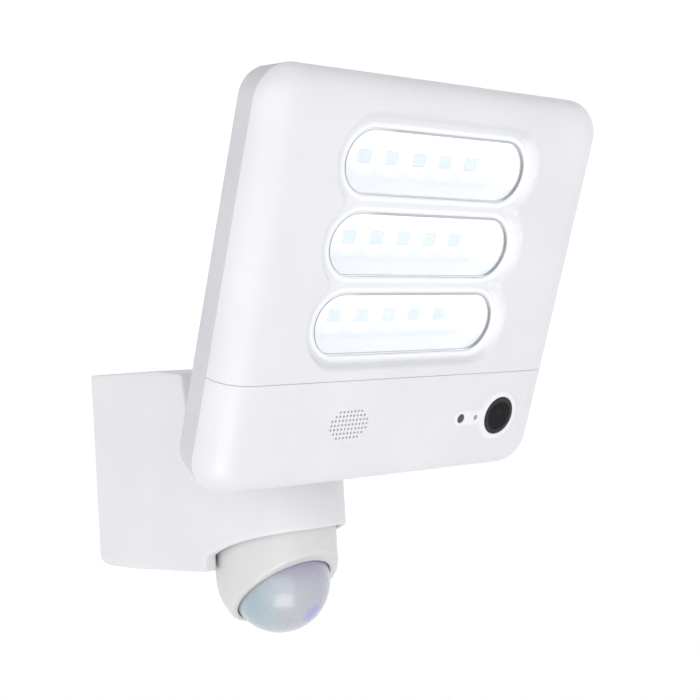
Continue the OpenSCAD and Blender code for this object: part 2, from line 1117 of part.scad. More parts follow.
module speaker_frame() {
    color([0.25, 0.25, 0.27])
        at_speaker()
            rotate_extrude()
                polygon([
                    [13.4, -2.6], [16, -2.6], [16, -4.6], [14.5, -4.6], [9.4, -12], [6, -12], [6, -11],
                    [8.8, -11], [13.4, -4.4]
                ]);
}

module speaker_cone() {
    color([0.10, 0.10, 0.11])
        at_speaker()
            rotate_extrude()
                polygon([[0, -6.6], [3.4, -8], [12.9, -3.2], [12.9, -3.7], [3.4, -8.6], [0, -7.2]]);
}

module speaker_magnet() {
    color(steel)
        at_speaker() {
            ring(9, 0, -18.5, -12.1);
            ring(5.8, 0, -13, -10);
        }
}

main_board_top = -27.4;

module main_board() {
    color(board_green)
        on_head()
            box_between([-78, -90, main_board_top - board_t], [78, -50, main_board_top]);
}

module board_chips() {
    color([0.10, 0.10, 0.12])
        on_head()
            for (chip = [[0, -70, 14, 14], [24, -66, 10, 12], [44, -78, 16, 12], [-48, -74, 18, 15]])
                translate([chip[0], chip[1], main_board_top])
                    linear_extrude(1.6)
                        square([chip[2], chip[3]], center = true);
}

module wifi_antenna() {
    color([0.80, 0.55, 0.25])
        on_head()
            box_between([-84, -58, -cover_wall - 0.9], [-48, -50, -cover_wall - 0.1]);
}

// ---------- Motion sensor ----------

module at_nose() {
    translate([0, -nose_y, 0])
        children();
}

// Puts children at the eye's centre with Z out of the aperture
module at_eye() {
    translate(eye_c)
        rotate([90 + gaze, 0, 0])
            children();
}

module pir_holder() {
    color(ivory)
        difference() {
            union() {
                at_nose() {
                    ring(collar_r, 0, collar_low, collar_top);
                    translate([0, 0, collar_low])
                        sphere(r = collar_r, $fn = 120);
                    ring(neck_r - fit_gap, 0, collar_top - past, neck_top);
                }
            }
            translate(eye_c)
                sphere(r = socket_r, $fn = 120);
            at_eye()
                translate([-50, -50, aperture_d])
                    cube(100);
            at_nose()
                ring(wire_bore_r, 0, -40, neck_top + past);
            translate(eye_c)
                rotate([0, 90, 0])
                    cylinder(r = eye_pin_r + fit_gap, h = 2 * eye_pin_end + 0.6, center = true);
        }
}

module pir_retainer() {
    color([0.25, 0.25, 0.27])
        at_nose()
            ring(21, neck_r, pocket_top + ceiling_t + body_gap, neck_top - 1.5);
}

module pir_seal() {
    color([0.20, 0.20, 0.22])
        at_nose()
            ring(22, 18, collar_top, pocket_top - body_gap);
}

module behind(depth) {
    translate([-50, -50, depth - 100])
        cube(100);
}

module eye_pins(r, length) {
    rotate([0, 90, 0])
        cylinder(r = r, h = length, center = true);
}

module pir_dome() {
    color([0.75, 0.80, 0.86, 0.8])
        at_eye()
            difference() {
                sphere(r = dome_r, $fn = 120);
                sphere(r = dome_r - dome_t, $fn = 120);
                behind(-skirt_d);
                eye_pins(eye_pin_r + fit_gap, 60);
            }
}

module eye_shell() {
    color(ivory)
        at_eye()
            difference() {
                union() {
                    intersection() {
                        sphere(r = dome_r, $fn = 120);
                        behind(-skirt_d - 0.1);
                    }
                    intersection() {
                        sphere(r = dome_r - dome_t - 0.2, $fn = 120);
                        behind(3);
                    }
                    eye_pins(eye_pin_r, 2 * eye_pin_end);
                }
                sphere(r = dome_r - 3.2, $fn = 120);
                translate([0, 0, -40])
                    cylinder(r = 10, h = 30);
            }
}

module pir_board() {
    color(board_green)
        at_eye()
            ring(21, 0, -9.6, -8);
}

module pyro_sensor() {
    color(steel)
        at_eye() {
            ring(4.6, 0, -8, -3.8);
            ring(5.2, 0, -8, -7.4);
        }
}

wall_plate();
bracket_housing();
cable_grommet();
terminal_block();
terminal_screws();
power_board();
transformer();
capacitors();
relay();
board_screws();
housing_screws();
pan_washer();
pan_nut();
swivel_arm();
front_cover();
lower_cover();
rear_housing();
cover_seal();
head_screws();
window_upper();
window_middle();
window_lower();
window_seals();
reflector_upper();
reflector_middle();
reflector_lower();
led_board_upper();
led_board_middle();
led_board_lower();
leds_upper();
leds_middle();
leds_lower();
heat_sink();
camera_bezel();
camera_glass();
lens_barrel();
front_lens();
rear_lens();
image_sensor();
camera_board();
camera_holder();
light_sensor();
status_light();
speaker_frame();
speaker_cone();
speaker_magnet();
main_board();
board_chips();
wifi_antenna();
tilt_bolt();
tilt_nut();
tilt_washers();
pir_holder();
pir_retainer();
pir_seal();
pir_dome();
eye_shell();
pir_board();
pyro_sensor();
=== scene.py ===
import math
import bpy
import numpy as np
from mathutils import Matrix, Vector
from mathutils.geometry import delaunay_2d_cdt


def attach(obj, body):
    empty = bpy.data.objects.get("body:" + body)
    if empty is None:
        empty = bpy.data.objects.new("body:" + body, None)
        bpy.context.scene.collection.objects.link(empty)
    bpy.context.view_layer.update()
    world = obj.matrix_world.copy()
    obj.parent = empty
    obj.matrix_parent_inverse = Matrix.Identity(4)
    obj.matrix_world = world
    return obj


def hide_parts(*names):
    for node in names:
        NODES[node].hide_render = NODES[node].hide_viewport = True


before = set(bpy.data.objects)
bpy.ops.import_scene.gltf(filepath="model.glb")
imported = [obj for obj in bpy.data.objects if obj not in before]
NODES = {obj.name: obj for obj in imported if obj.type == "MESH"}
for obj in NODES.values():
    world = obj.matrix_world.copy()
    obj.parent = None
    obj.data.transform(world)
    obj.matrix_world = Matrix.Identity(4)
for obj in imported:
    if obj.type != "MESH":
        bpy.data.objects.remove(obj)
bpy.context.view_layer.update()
MM = 0.001

# ---------------------------------------------------------------- measures, in mm, as in the CAD source
HEAD_W, HEAD_H, CORNER_R = 211.2, 193.2, 18.0
HEAD_TILT, FACE_Y, FACE_Z = 21.5, 208.8, 80.3
PILLOW_W, PILLOW_POWER, COVER_D, COVER_WALL = 17.6, 2.2, 14.0, 2.4
SEAM_V, SEAM_GAP = -41.5, 0.06
WINDOW_L, WINDOW_H, WINDOW_PITCH, WINDOW_V = 114.2, 30.0, 37.6, 21.5
RECESS_D, RECESS_U, RECESS_UP, RECESS_FLOOR, RECESS_TOP = 5.8, -2.2, 1.1, 3.3, 6.7
CAMERA_U, CAMERA_V, BEZEL_R = 71.6, -64.95, 10.0
SENSOR_U, STATUS_U = CAMERA_U - 27.4, CAMERA_U - 16.9
SPEAKER_U, SPEAKER_V, GRILLE_PITCH, GRILLE_R = -29.7, -63.25, 2.16, 0.56
GRILLE_ROWS = (7, 9, 11, 11, 11, 9, 7)
LED_PITCH = 17.0
DOME_C, DOME_R = (0.0, -87.4, -62.6), 26.8

ON_HEAD = Matrix.Translation((0, -FACE_Y, FACE_Z)) @ Matrix.Rotation(math.radians(90 + HEAD_TILT), 4, "X")


# ---------------------------------------------------------------- node helpers for materials
class Paint:
    """A material under construction: a Principled shader and the nodes that drive it."""

    def __init__(self, name, color, **sockets):
        self.mat = bpy.data.materials.new(name)
        self.mat.use_nodes = True
        self.tree = self.mat.node_tree
        self.shader = self.tree.nodes["Principled BSDF"]
        place = self.tree.nodes.new("ShaderNodeTexCoord")
        self.coord, self.normals = place.outputs["Object"], place.outputs["Normal"]
        self.shader.inputs["Base Color"].default_value = (*color, 1)
        for key, value in sockets.items():
            self.shader.inputs[key.replace("_", " ")].default_value = value
        self.normal = None

    def node(self, kind, **values):
        made = self.tree.nodes.new("ShaderNode" + kind)
        for key, value in values.items():
            setattr(made, key, value)
        return made

    def link(self, a, b):
        self.tree.links.new(a, b)
        return self

    def noise(self, scale, detail=2.0, squash=(1, 1, 1)):
        """Noise over the piece's own space, stretched along an axis whose squash is low."""
        n = self.node("TexNoise")
        n.inputs["Scale"].default_value = scale
        n.inputs["Detail"].default_value = detail
        m = self.node("Mapping")
        m.inputs["Scale"].default_value = squash
        self.link(self.coord, m.inputs["Vector"]).link(m.outputs[0], n.inputs["Vector"])
        return n.outputs[0]

    def remap(self, source, low, high, start=0.3, end=0.7):
        """low to high as source goes from start to end, which a noise seldom leaves."""
        n = self.node("MapRange")
        n.inputs["From Min"].default_value = start
        n.inputs["From Max"].default_value = end
        n.inputs["To Min"].default_value = low
        n.inputs["To Max"].default_value = high
        self.link(source, n.inputs["Value"])
        return n.outputs[0]

    def blend(self, factor, a, b):
        """A colour between a and b, which are colours or sockets."""
        n = self.node("Mix", data_type="RGBA")
        self.link(factor, n.inputs["Factor"])
        for value, socket in ((a, n.inputs[6]), (b, n.inputs[7])):
            if hasattr(value, "is_linked"):
                self.link(value, socket)
            else:
                socket.default_value = (*value, 1)
        return n.outputs[2]

    def along(self, way, centre, low, high):
        """0 to 1 along a direction of the piece's own space, between two distances in mm from centre."""
        gap = self.node("VectorMath", operation="SUBTRACT")
        gap.inputs[1].default_value = [c * MM for c in centre]
        dot = self.node("VectorMath", operation="DOT_PRODUCT")
        dot.inputs[1].default_value = way
        self.link(self.coord, gap.inputs[0]).link(gap.outputs[0], dot.inputs[0])
        return self.remap(dot.outputs["Value"], 0, 1, low * MM, high * MM)

    def attribute(self, name):
        return self.node("Attribute", attribute_name=name).outputs["Fac"]

    def tint(self, factor, a, b):
        self.link(self.blend(factor, a, b), self.shader.inputs["Base Color"])
        return self

    def rough(self, source, low, high):
        self.link(self.remap(source, low, high), self.shader.inputs["Roughness"])
        return self

    def bump(self, source, depth, strength):
        """Adds a bump of the given depth in mm over the ones before it."""
        n = self.node("Bump")
        n.inputs["Strength"].default_value = strength
        n.inputs["Distance"].default_value = depth * MM
        self.link(source, n.inputs["Height"])
        if self.normal is not None:
            self.link(self.normal, n.inputs["Normal"])
        self.normal = n.outputs[0]
        self.link(self.normal, self.shader.inputs["Normal"])
        return self


def shade(color, k):
    """A colour k times as bright."""
    return tuple(min(1.0, c * k) for c in color)


def moulded(name, color, low=0.36, high=0.46, grain=0.012, vary=0.025, **sockets):
    """Moulded plastic: a fine spark-eroded grain, faint flow clouds and uneven gloss."""
    p = Paint(name, color, **sockets)
    p.tint(p.remap(p.noise(22, 3), 0, 1), shade(color, 1 - vary), shade(color, 1 + vary))
    p.rough(p.noise(160, 3), low, high)
    p.bump(p.noise(700, 2), grain * 1.5, 0.35).bump(p.noise(2600, 2), grain, 0.6)
    return p.mat


def metal(name, color, low, high, squash=(1, 1, 1), scale=900):
    """Bare metal: patches of tone and a fine tooled or plated texture."""
    p = Paint(name, color, Metallic=1.0)
    p.tint(p.remap(p.noise(60, 4), 0, 1), shade(color, 0.88), shade(color, 1.06))
    p.rough(p.noise(scale, 3, squash=squash), low, high)
    p.bump(p.noise(scale, 2, squash=squash), 0.02, 0.4)
    return p.mat


# ---------------------------------------------------------------- mesh helpers
def add_piece(name, points, faces, mat, body, node, sharp, masks):
    """A mesh in place of a node, from points in mm in the head's frame. sharp holds edges as vertex pairs."""
    mesh = bpy.data.meshes.new(name)
    mesh.from_pydata([tuple(float(c) * MM for c in p) for p in points], [], faces)
    mesh.transform(Matrix.Translation(ON_HEAD.translation * MM) @ ON_HEAD.to_3x3().to_4x4())
    mesh.polygons.foreach_set("use_smooth", [True] * len(mesh.polygons))
    mesh.materials.append(mat)
    for mask, values in masks.items():
        layer = mesh.attributes.new(mask, "FLOAT", "POINT")
        layer.data.foreach_set("value", np.asarray(values, np.float32))
    for e in mesh.edges:
        if tuple(sorted(e.vertices)) in sharp:
            e.use_edge_sharp = True
    mesh.validate()
    obj = bpy.data.objects.new(name, mesh)
    bpy.context.scene.collection.objects.link(obj)
    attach(obj, body)
    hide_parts(node)
    return obj


def repaint(name, mat):
    """Gives a CAD node its only material."""
    obj = NODES[name]
    obj.data.materials.clear()
    obj.data.materials.append(mat)
    return obj


BEVEL_LIMIT, BEVEL_SEGMENTS = math.radians(35), 3
FLAT = 0.5              # degrees between facets that count as one face
WELD = 1e-5             # metres
FACES_KEPT = 0.35       # of a remeshed piece


def finish_node(name, mat, width, flat):
    """A CAD node shown as it is, with its edges eased by modifiers. flat is 0 for pieces with curved faces."""
    obj = repaint(name, mat)
    if not width:
        return obj
    obj.modifiers.new("Weld", "WELD").merge_threshold = WELD
    if flat:
        flatten = obj.modifiers.new("Flat", "DECIMATE")
        flatten.decimate_type = "DISSOLVE"
        flatten.angle_limit = math.radians(flat)
    bevel = obj.modifiers.new("Bevel", "BEVEL")
    bevel.width = width * MM
    bevel.segments = BEVEL_SEGMENTS
    bevel.limit_method = "ANGLE"
    bevel.angle_limit = BEVEL_LIMIT
    for polygon in obj.data.polygons:
        polygon.use_smooth = True
    obj.modifiers.new("Normals", "WEIGHTED_NORMAL").keep_sharp = False
    return obj


def soften_node(name, mat, voxel, passes):
    """A CAD node whose every edge is rounded, as moulded parts are: a fine remesh, smoothed in place."""
    obj = repaint(name, mat)
    remesh = obj.modifiers.new("Fine", "REMESH")
    remesh.mode = "VOXEL"
    remesh.voxel_size = voxel * MM
    remesh.use_smooth_shade = True
    relax = obj.modifiers.new("Soft", "SMOOTH")
    relax.factor = 0.5
    relax.iterations = passes
    obj.modifiers.new("Light", "DECIMATE").ratio = FACES_KEPT
    return obj


# ---------------------------------------------------------------- heights of the front covers
def smooth(t):
    """0 to 1 as t goes from 0 to 1, level at both ends."""
    t = np.clip(t, 0, 1)
    return t * t * t * (t * (6 * t - 15) + 10)


def eased(d, r):
    """How far an edge rounded to radius r falls at a distance d from it."""
    d = np.clip(r - np.asarray(d, float), 0, r)
    return r - np.sqrt(np.maximum(r * r - d * d, 0))


def capsule(u, v, half, cv, cu=0.0):
    """Distance to a level segment of the given half length, centred on cu, cv."""
    return np.hypot(np.maximum(np.abs(u - cu) - half, 0), v - cv)


def merged(gaps, soft):
    """The least of some distances, blended where two are alike."""
    return -soft * np.log(sum(np.exp(-np.clip(g, -20, 60) / soft) for g in gaps))


WINDOW_AT = [WINDOW_V + (1 - i) * WINDOW_PITCH for i in range(3)]
RUN = (WINDOW_L - WINDOW_H) / 2
HOLE_EASE, SEAM_EASE, SPOT_EASE, GRILLE_EASE = 0.25, 0.4, 0.3, 0.16
RECESS_SOFT, RING_SOFT = 2.6, 0.9
BEAD_MID, BEAD_W, BEAD_H = 1.5, 1.7, 0.85
RING_W, BAR_W, RING_H = 2.6, 3.6, 0.8
RIM_REACH, RIM_FADE = 3.5, 1.6
ENDS_FROM, ENDS_FADE, SLOPE_FADE = 5, 9, 2
# how strongly the painted highlight lightens the window rims, the recess's right ends, its slope and the camera
# ring
RIM_HIGHLIGHT, ENDS_HIGHLIGHT, SLOPE_HIGHLIGHT, RING_HIGHLIGHT = 0.9, 0.8, 0.28, 0.4


def recess_gap(u, v):
    """Distance outside the three stadiums of the recess, blended where they meet."""
    gaps = [capsule(u, v, RUN, at + RECESS_UP, RECESS_U) - WINDOW_H / 2 for at in WINDOW_AT]
    return merged(gaps, RECESS_SOFT)


def rim_highlight_mask(u, v):
    """Strength of the painted highlight: 1 on the rims round the windows, less at the recess's right ends and
    on its slope, else 0.
    """
    rim = smooth((RIM_REACH - window_gap(u, v)) / RIM_FADE)
    ends = smooth((u - RUN - ENDS_FROM) / ENDS_FADE) * smooth((RECESS_TOP - 0.4 - recess_gap(u, v)) / 1.2)
    slope = smooth((RECESS_TOP + 0.4 - recess_gap(u, v)) / SLOPE_FADE)
    return np.maximum.reduce([RIM_HIGHLIGHT * rim, ENDS_HIGHLIGHT * ends, SLOPE_HIGHLIGHT * slope])


def window_gap(u, v):
    """Distance outside the nearest window."""
    return np.minimum.reduce([capsule(u, v, RUN, at) - WINDOW_H / 2 for at in WINDOW_AT])


def front_height(u, v):
    """Height of the upper cover over its pillow: the recess, the beads and the eased window edges."""
    x = recess_gap(u, v)
    h = -RECESS_D * smooth((RECESS_TOP - x) / (RECESS_TOP - RECESS_FLOOR))
    d = window_gap(u, v)
    bead = np.where(np.abs(d - BEAD_MID) < BEAD_W, np.cos(np.pi * (d - BEAD_MID) / (2 * BEAD_W)) ** 2, 0)
    return h + BEAD_H * bead - eased(d, HOLE_EASE)


# round holes of the lower cover, as centre and radius: the grille's, then those round the camera
HOLES = [(SPEAKER_U + (c - (n - 1) / 2) * GRILLE_PITCH, SPEAKER_V + (row - 3) * GRILLE_PITCH, GRILLE_R)
         for row, n in enumerate(GRILLE_ROWS) for c in range(n)]
SPOTS = [(CAMERA_U, CAMERA_V, BEZEL_R + 0.12), (SENSOR_U, CAMERA_V, 2.42), (STATUS_U, CAMERA_V, 1.32)]
BAR_HALF, BAR_U = (CAMERA_U - SENSOR_U) / 2, (CAMERA_U + SENSOR_U) / 2


def ring_mask(u, v):
    """1 on the raised ring round the camera and the bar beside it, 0 on the rest of the lower cover."""
    ring = np.hypot(u - CAMERA_U, v - CAMERA_V) - BEZEL_R - RING_W
    bar = capsule(u, v, BAR_HALF, CAMERA_V, BAR_U) - BAR_W
    return smooth((1.4 - merged([ring, bar], RING_SOFT)) / 2.2)


def lower_height(u, v):
    """Height of the lower cover over its pillow: the raised ring and bar, and eased hole edges."""
    h = RING_H * ring_mask(u, v)
    for cu, cv, r in SPOTS:
        h = h - eased(np.hypot(u - cu, v - cv) - r, SPOT_EASE)
    spans = np.hypot(u[..., None] - [g[0] for g in HOLES], v[..., None] - [g[1] for g in HOLES])
    return h - eased((spans - GRILLE_R).min(-1), GRILLE_EASE)


# ---------------------------------------------------------------- meshes of the front covers
SEAM_ROWS = [0, 0.05, 0.13, 0.25, 0.4, 1.0, 2.2]    # distances of the rows of points beside the seam
ACROSS = 92                                         # points in each of those rows
FAR = 99.0                                          # a distance from the seam at which nothing is eased
CORNER_POINTS, STADIUM_POINTS, STRAIGHT_POINTS, SPOT_POINTS, GRILLE_POINTS = 17, 28, 50, 72, 14
EDGE_TURNS = np.radians(np.concatenate(([0, 1.5, 4], np.linspace(8, 90, 20))))
LEFT_CLEAR, RIGHT_CLEAR, TOP_CLEAR = 0.8, 0.5, 0.6  # from the middle's field of points to its rim


def edge_path(side):
    """Points round the head's edge, from seam to seam: where the corner's axis runs, the outward direction
    and the distance from the seam."""
    start = SEAM_V + side * SEAM_GAP
    half, tall = HEAD_W / 2 - CORNER_R, HEAD_H / 2 - CORNER_R
    length = abs(tall - side * start)
    rise = SEAM_ROWS + list(np.linspace(3.6, length, max(4, int(length / 2.4))))
    left = [(-half, start + side * d, -1.0, 0.0, d) for d in rise]
    far = side * tall
    angles = np.linspace(0, math.pi / 2, CORNER_POINTS)[1:-1]
    arc = [(-half, far, -math.cos(a), side * math.sin(a), FAR) for a in angles]
    top = [(u, far, 0.0, side, FAR) for u in np.linspace(-half, half, ACROSS)]
    path = left + arc + top
    mirror = [(-u, v, -nu, nv, d) for u, v, nu, nv, d in reversed(left + arc)]
    return path + mirror


def cover(name, side, height, holes, guides, dense, mat, node):
    """One front cover: rings of quads over the rounded edge, a triangulated middle, and a wall under both.

    side is 1 above the seam and -1 below it. height adds relief to the plain pillow. holes are cut out, and
    guides only place points. dense lists fields of points: the step, where they lie and how far they keep from
    others.
    """
    path = edge_path(side)
    base = np.array([(u, v) for u, v, *_ in path])
    out = np.array([(nu, nv) for _, _, nu, nv, _ in path], float)
    ease = eased(np.array([p[4] for p in path]), SEAM_EASE)
    power = 2 / PILLOW_POWER
    inner_r = CORNER_R - PILLOW_W
    top, under = [], []
    for turn in EDGE_TURNS:
        c, s = max(math.cos(turn), 0) ** power, math.sin(turn) ** power
        spread, rise = inner_r + PILLOW_W * c, -COVER_D + COVER_D * s
        level = math.cos(turn) ** (2 - power) if turn < math.pi / 2 - 1e-9 else 0
        normal = np.array([level / PILLOW_W, math.sin(turn) ** (2 - power) / COVER_D])
        normal = normal / np.linalg.norm(normal)
        p = base + out * (spread - ease * normal[0])[:, None]
        w = rise - ease * normal[1] + height(p[:, 0], p[:, 1])
        top.append(np.column_stack([p, w]))
        q = base + out * (inner_r + (PILLOW_W - COVER_WALL) * c)
        low = -COVER_D + (COVER_D - COVER_WALL) * s + height(q[:, 0], q[:, 1])
        under.append(np.column_stack([q, np.maximum(low, -COVER_D)]))
    n = len(path)
    points = np.concatenate(top)
    faces = []
    for k in range(len(EDGE_TURNS) - 1):
        for j in range(n - 1):
            a, b = k * n + j, k * n + j + 1
            quad = (a, b, b + n, a + n)
            faces.append(quad if side < 0 else quad[::-1])
    # the middle: the innermost ring, lines that follow the seam, the holes and a field of points
    rim = [Vector((x, y)) for x, y in top[-1][:, :2]]
    verts, edges = list(rim), [(i, i + 1) for i in range(n - 1)]
    left, right = rim[0].x, rim[-1].x
    seam = SEAM_V + side * SEAM_GAP
    for i, d in enumerate(SEAM_ROWS[:-1]):
        ids = [i] + list(range(len(verts), len(verts) + ACROSS - 2)) + [n - 1 - i]
        verts += [Vector((x, seam + side * d)) for x in np.linspace(left, right, ACROSS)[1:-1]]
        edges += list(zip(ids[:-1], ids[1:]))
    for loop in holes + guides:
        first = len(verts)
        verts += [Vector(p) for p in loop]
        edges += [(first + i, first + (i + 1) % len(loop)) for i in range(len(loop))]
    fixed = np.array([(p.x, p.y) for p in verts])
    field = []
    for step, wanted, clear in dense:
        us = np.arange(left + LEFT_CLEAR, right - RIGHT_CLEAR, step)
        low, high = sorted((seam + side * SEAM_ROWS[-1], rim[n // 2].y - side * TOP_CLEAR))
        grid = np.array([(u + (step / 2 if k % 2 else 0), v)
                         for k, v in enumerate(np.arange(low, high, step * 0.87)) for u in us])
        grid = grid[(grid[:, 0] < right - RIGHT_CLEAR) & wanted(grid[:, 0], grid[:, 1])]
        others = np.concatenate([fixed] + field) if field else fixed
        keep = []
        for chunk in np.array_split(grid, max(1, len(grid) // 1500)):
            apart = chunk[:, None, :2] - others[None, :, :2]
            keep.append(chunk[np.hypot(apart[..., 0], apart[..., 1]).min(1) > clear])
        field.append(np.concatenate(keep))
    verts += [Vector(p) for p in np.concatenate(field)]
    flat, _, tris, *_ = delaunay_2d_cdt(verts, edges, [], 0, 1e-5)
    flat = np.array([(p.x, p.y) for p in flat])
    tris = np.array(tris)
    mid = flat[tris].mean(1)
    inside = (side * (mid[:, 1] - seam) > 0) & (mid[:, 0] > left) & (mid[:, 0] < right)
    for hole in holes:
        ring = np.array(hole)
        centre, reach = ring.mean(0), np.abs(ring - ring.mean(0)).max() * 1.5
        near = np.where(np.hypot(*(mid - centre).T) < reach)[0]
        if len(near):
            inside[near[in_loop(mid[near], ring)]] = False
    tris = tris[inside]
    h = height(flat[:, 0], flat[:, 1])
    offset = len(points)
    points = np.concatenate([points, np.column_stack([flat, h - eased(side * (flat[:, 1] - seam), SEAM_EASE)])])
    lower = np.concatenate(under + [np.column_stack([flat, h - COVER_WALL])])
    a, b, c = (flat[tris[:, k]] for k in range(3))
    turn_way = (b[:, 0] - a[:, 0]) * (c[:, 1] - a[:, 1]) - (b[:, 1] - a[:, 1]) * (c[:, 0] - a[:, 0])
    for tri, way in zip(tris, turn_way):
        t = tuple(int(i) + offset for i in tri)
        faces.append(t if way > 0 else t[::-1])
    return shell(name, points, lower, faces, mat, node)


def in_loop(points, loop):
    """Which points lie inside a closed loop."""
    x, y = points[:, 0][:, None], points[:, 1][:, None]
    x0, y0 = loop[:, 0][None], loop[:, 1][None]
    x1, y1 = np.roll(loop[:, 0], -1)[None], np.roll(loop[:, 1], -1)[None]
    crosses = ((y0 > y) != (y1 > y)) & (x < (x1 - x0) * (y - y0) / (y1 - y0 + 1e-12) + x0)
    return crosses.sum(1) % 2 == 1


def shell(name, top, under, faces, mat, node):
    """Closes a surface with its underside: doubles are merged, then each open edge gets a wall."""
    places, index, order = {}, [], []
    for i, p in enumerate(top):
        key = (round(p[0], 3), round(p[1], 3), round(p[2], 3))
        if key not in places:
            places[key] = len(order)
            order.append(i)
        index.append(places[key])
    faces = [tuple(dict.fromkeys(index[i] for i in f)) for f in faces]
    faces = [f for f in faces if len(f) > 2]
    top, under = top[order], under[order]
    sides = dict.fromkeys((a, b) for f in faces for a, b in zip(f, f[1:] + f[:1]))
    rim = [(a, b) for a, b in sides if (b, a) not in sides]
    used = sorted({i for f in faces for i in f})
    place = {v: k for k, v in enumerate(used)}
    points = np.concatenate([top[used], under[used]])
    m = len(used)
    made = [tuple(place[i] for i in f) for f in faces]
    made += [tuple(place[i] + m for i in reversed(f)) for f in faces]
    made += [(place[b], place[a], place[a] + m, place[b] + m) for a, b in rim]
    sharp = set()
    for a, b in rim:
        sharp.add(tuple(sorted((place[a], place[b]))))
        sharp.add(tuple(sorted((place[a] + m, place[b] + m))))
    # painted highlight: a mask of lighter paint, on the window rims and recess of the upper cover and on the
    # camera ring of the lower
    mask = rim_highlight_mask if node == "front_cover" else ring_mask
    strength = 1.0 if node == "front_cover" else RING_HIGHLIGHT
    masks = {"painted_highlight": strength * mask(points[:, 0], points[:, 1])}
    return add_piece(name, points, made, mat, "lamp_head", node, sharp, masks)


def stadium_loop(cv, grow):
    """Points round a window at height cv, grown outwards."""
    r = WINDOW_H / 2 + grow
    ends = [(RUN + r * math.sin(a), cv - r * math.cos(a)) for a in np.linspace(0, math.pi, STADIUM_POINTS)]
    straight = [(x, cv + r) for x in np.linspace(RUN, -RUN, STRAIGHT_POINTS)[1:-1]]
    far = [(-x, 2 * cv - y) for x, y in ends]
    return ends + straight + far + [(-x, 2 * cv - y) for x, y in straight]


def circle_loop(cu, cv, r, count):
    angles = np.linspace(0, 2 * math.pi, count, endpoint=False)
    return [(cu + r * math.cos(a), cv + r * math.sin(a)) for a in angles]


# ---------------------------------------------------------------- materials
def cover_white_with_painted_highlight():
    """The front covers' plastic, with a painted highlight: lighter on the rims round the windows and the
    camera.
    """
    p = Paint("CoverPaintedHighlight", (0.735, 0.735, 0.755))
    outside = p.blend(p.remap(p.noise(22, 3), 0, 1), (0.717, 0.717, 0.736), (0.753, 0.753, 0.774))
    # painted highlight: the colour turns lighter where the mask is high
    p.tint(p.attribute("painted_highlight"), outside, (0.93, 0.935, 0.95))
    p.rough(p.noise(160, 3), 0.30, 0.42)
    p.bump(p.noise(700, 2), 0.015, 0.35).bump(p.noise(2600, 2), 0.010, 0.6)
    return p.mat


FRONT = cover_white_with_painted_highlight()
# painted shade: the rear housing's grey, darker than the front covers' white, stands in for the shade on the
# head's rear
REAR_SHADED = moulded("RearPlasticShaded", (0.60, 0.60, 0.63), 0.40, 0.52, grain=0.016)
BRACKET = moulded("BracketPlastic", (0.735, 0.735, 0.75), 0.36, 0.48, grain=0.014)
IVORY = moulded("IvoryPlastic", (0.655, 0.648, 0.638), 0.30, 0.42, grain=0.010)
NYLON = moulded("DarkNylon", (0.06, 0.06, 0.065), 0.45, 0.6, grain=0.02, vary=0.12)
BLACK = moulded("GlossBlack", (0.010, 0.009, 0.012), 0.14, 0.24, grain=0.002, vary=0.2, Specular_IOR_Level=0.32)
SMOKED = moulded("SmokedWindow", (0.05, 0.05, 0.055), 0.12, 0.2, grain=0.002, vary=0.2)
PIPE = moulded("LightPipe", (0.30, 0.31, 0.33), 0.12, 0.2, grain=0.002, vary=0.1, Coat_Weight=0.5)
SATIN_BLACK = moulded("SatinBlack", (0.025, 0.025, 0.028), 0.38, 0.55, grain=0.01, vary=0.15)
CHIP = moulded("ChipBlack", (0.03, 0.03, 0.033), 0.5, 0.65, grain=0.02, vary=0.15)
TERMINAL = moulded("TerminalPlastic", (0.68, 0.68, 0.62), 0.4, 0.5, grain=0.012, vary=0.06)
RELAY = moulded("RelayBlue", (0.05, 0.16, 0.42), 0.25, 0.35, grain=0.006, vary=0.05)
BOARD_WHITE = moulded("LedBoard", (0.86, 0.87, 0.88), 0.35, 0.45, grain=0.01, vary=0.02)
RUBBER = moulded("SealRubber", (0.045, 0.045, 0.05), 0.6, 0.78, grain=0.03, vary=0.15)
STEEL = metal("ZincSteel", (0.62, 0.63, 0.65), 0.28, 0.45)
ALUMINIUM = metal("HeatSinkMetal", (0.66, 0.67, 0.69), 0.35, 0.5, squash=(1, 1, 14), scale=500)
COPPER = metal("FlexCopper", (0.72, 0.42, 0.20), 0.3, 0.45)
SILICON = metal("SensorSilicon", (0.18, 0.25, 0.30), 0.15, 0.25)


def circuit():
    """Green solder mask with tracks that show through it."""
    p = Paint("CircuitGreen", (0.02, 0.11, 0.05))
    lines = p.node("TexBrick")
    lines.inputs["Scale"].default_value = 60
    lines.inputs["Mortar Size"].default_value = 0.05
    lines.inputs["Color1"].default_value = lines.inputs["Color2"].default_value = (0, 0, 0, 1)
    lines.inputs["Mortar"].default_value = (1, 1, 1, 1)
    p.link(p.coord, lines.inputs["Vector"])
    p.tint(lines.outputs[0], (0.02, 0.11, 0.05), (0.05, 0.20, 0.09))
    p.rough(p.noise(300), 0.25, 0.38).bump(lines.outputs[0], 0.03, 0.6)
    return p.mat


def wound_yellow():
    """Polyester tape wound round a transformer."""
    p = Paint("TransformerTape", (0.75, 0.55, 0.08))
    wave = p.node("TexWave", bands_direction="Z")
    wave.inputs["Scale"].default_value = 160
    wave.inputs["Distortion"].default_value = 0.4
    p.link(p.coord, wave.inputs["Vector"])
    p.tint(wave.outputs[1], (0.62, 0.42, 0.05), (0.82, 0.62, 0.12))
    p.rough(p.noise(200), 0.3, 0.45).bump(wave.outputs[1], 0.05, 0.6)
    return p.mat


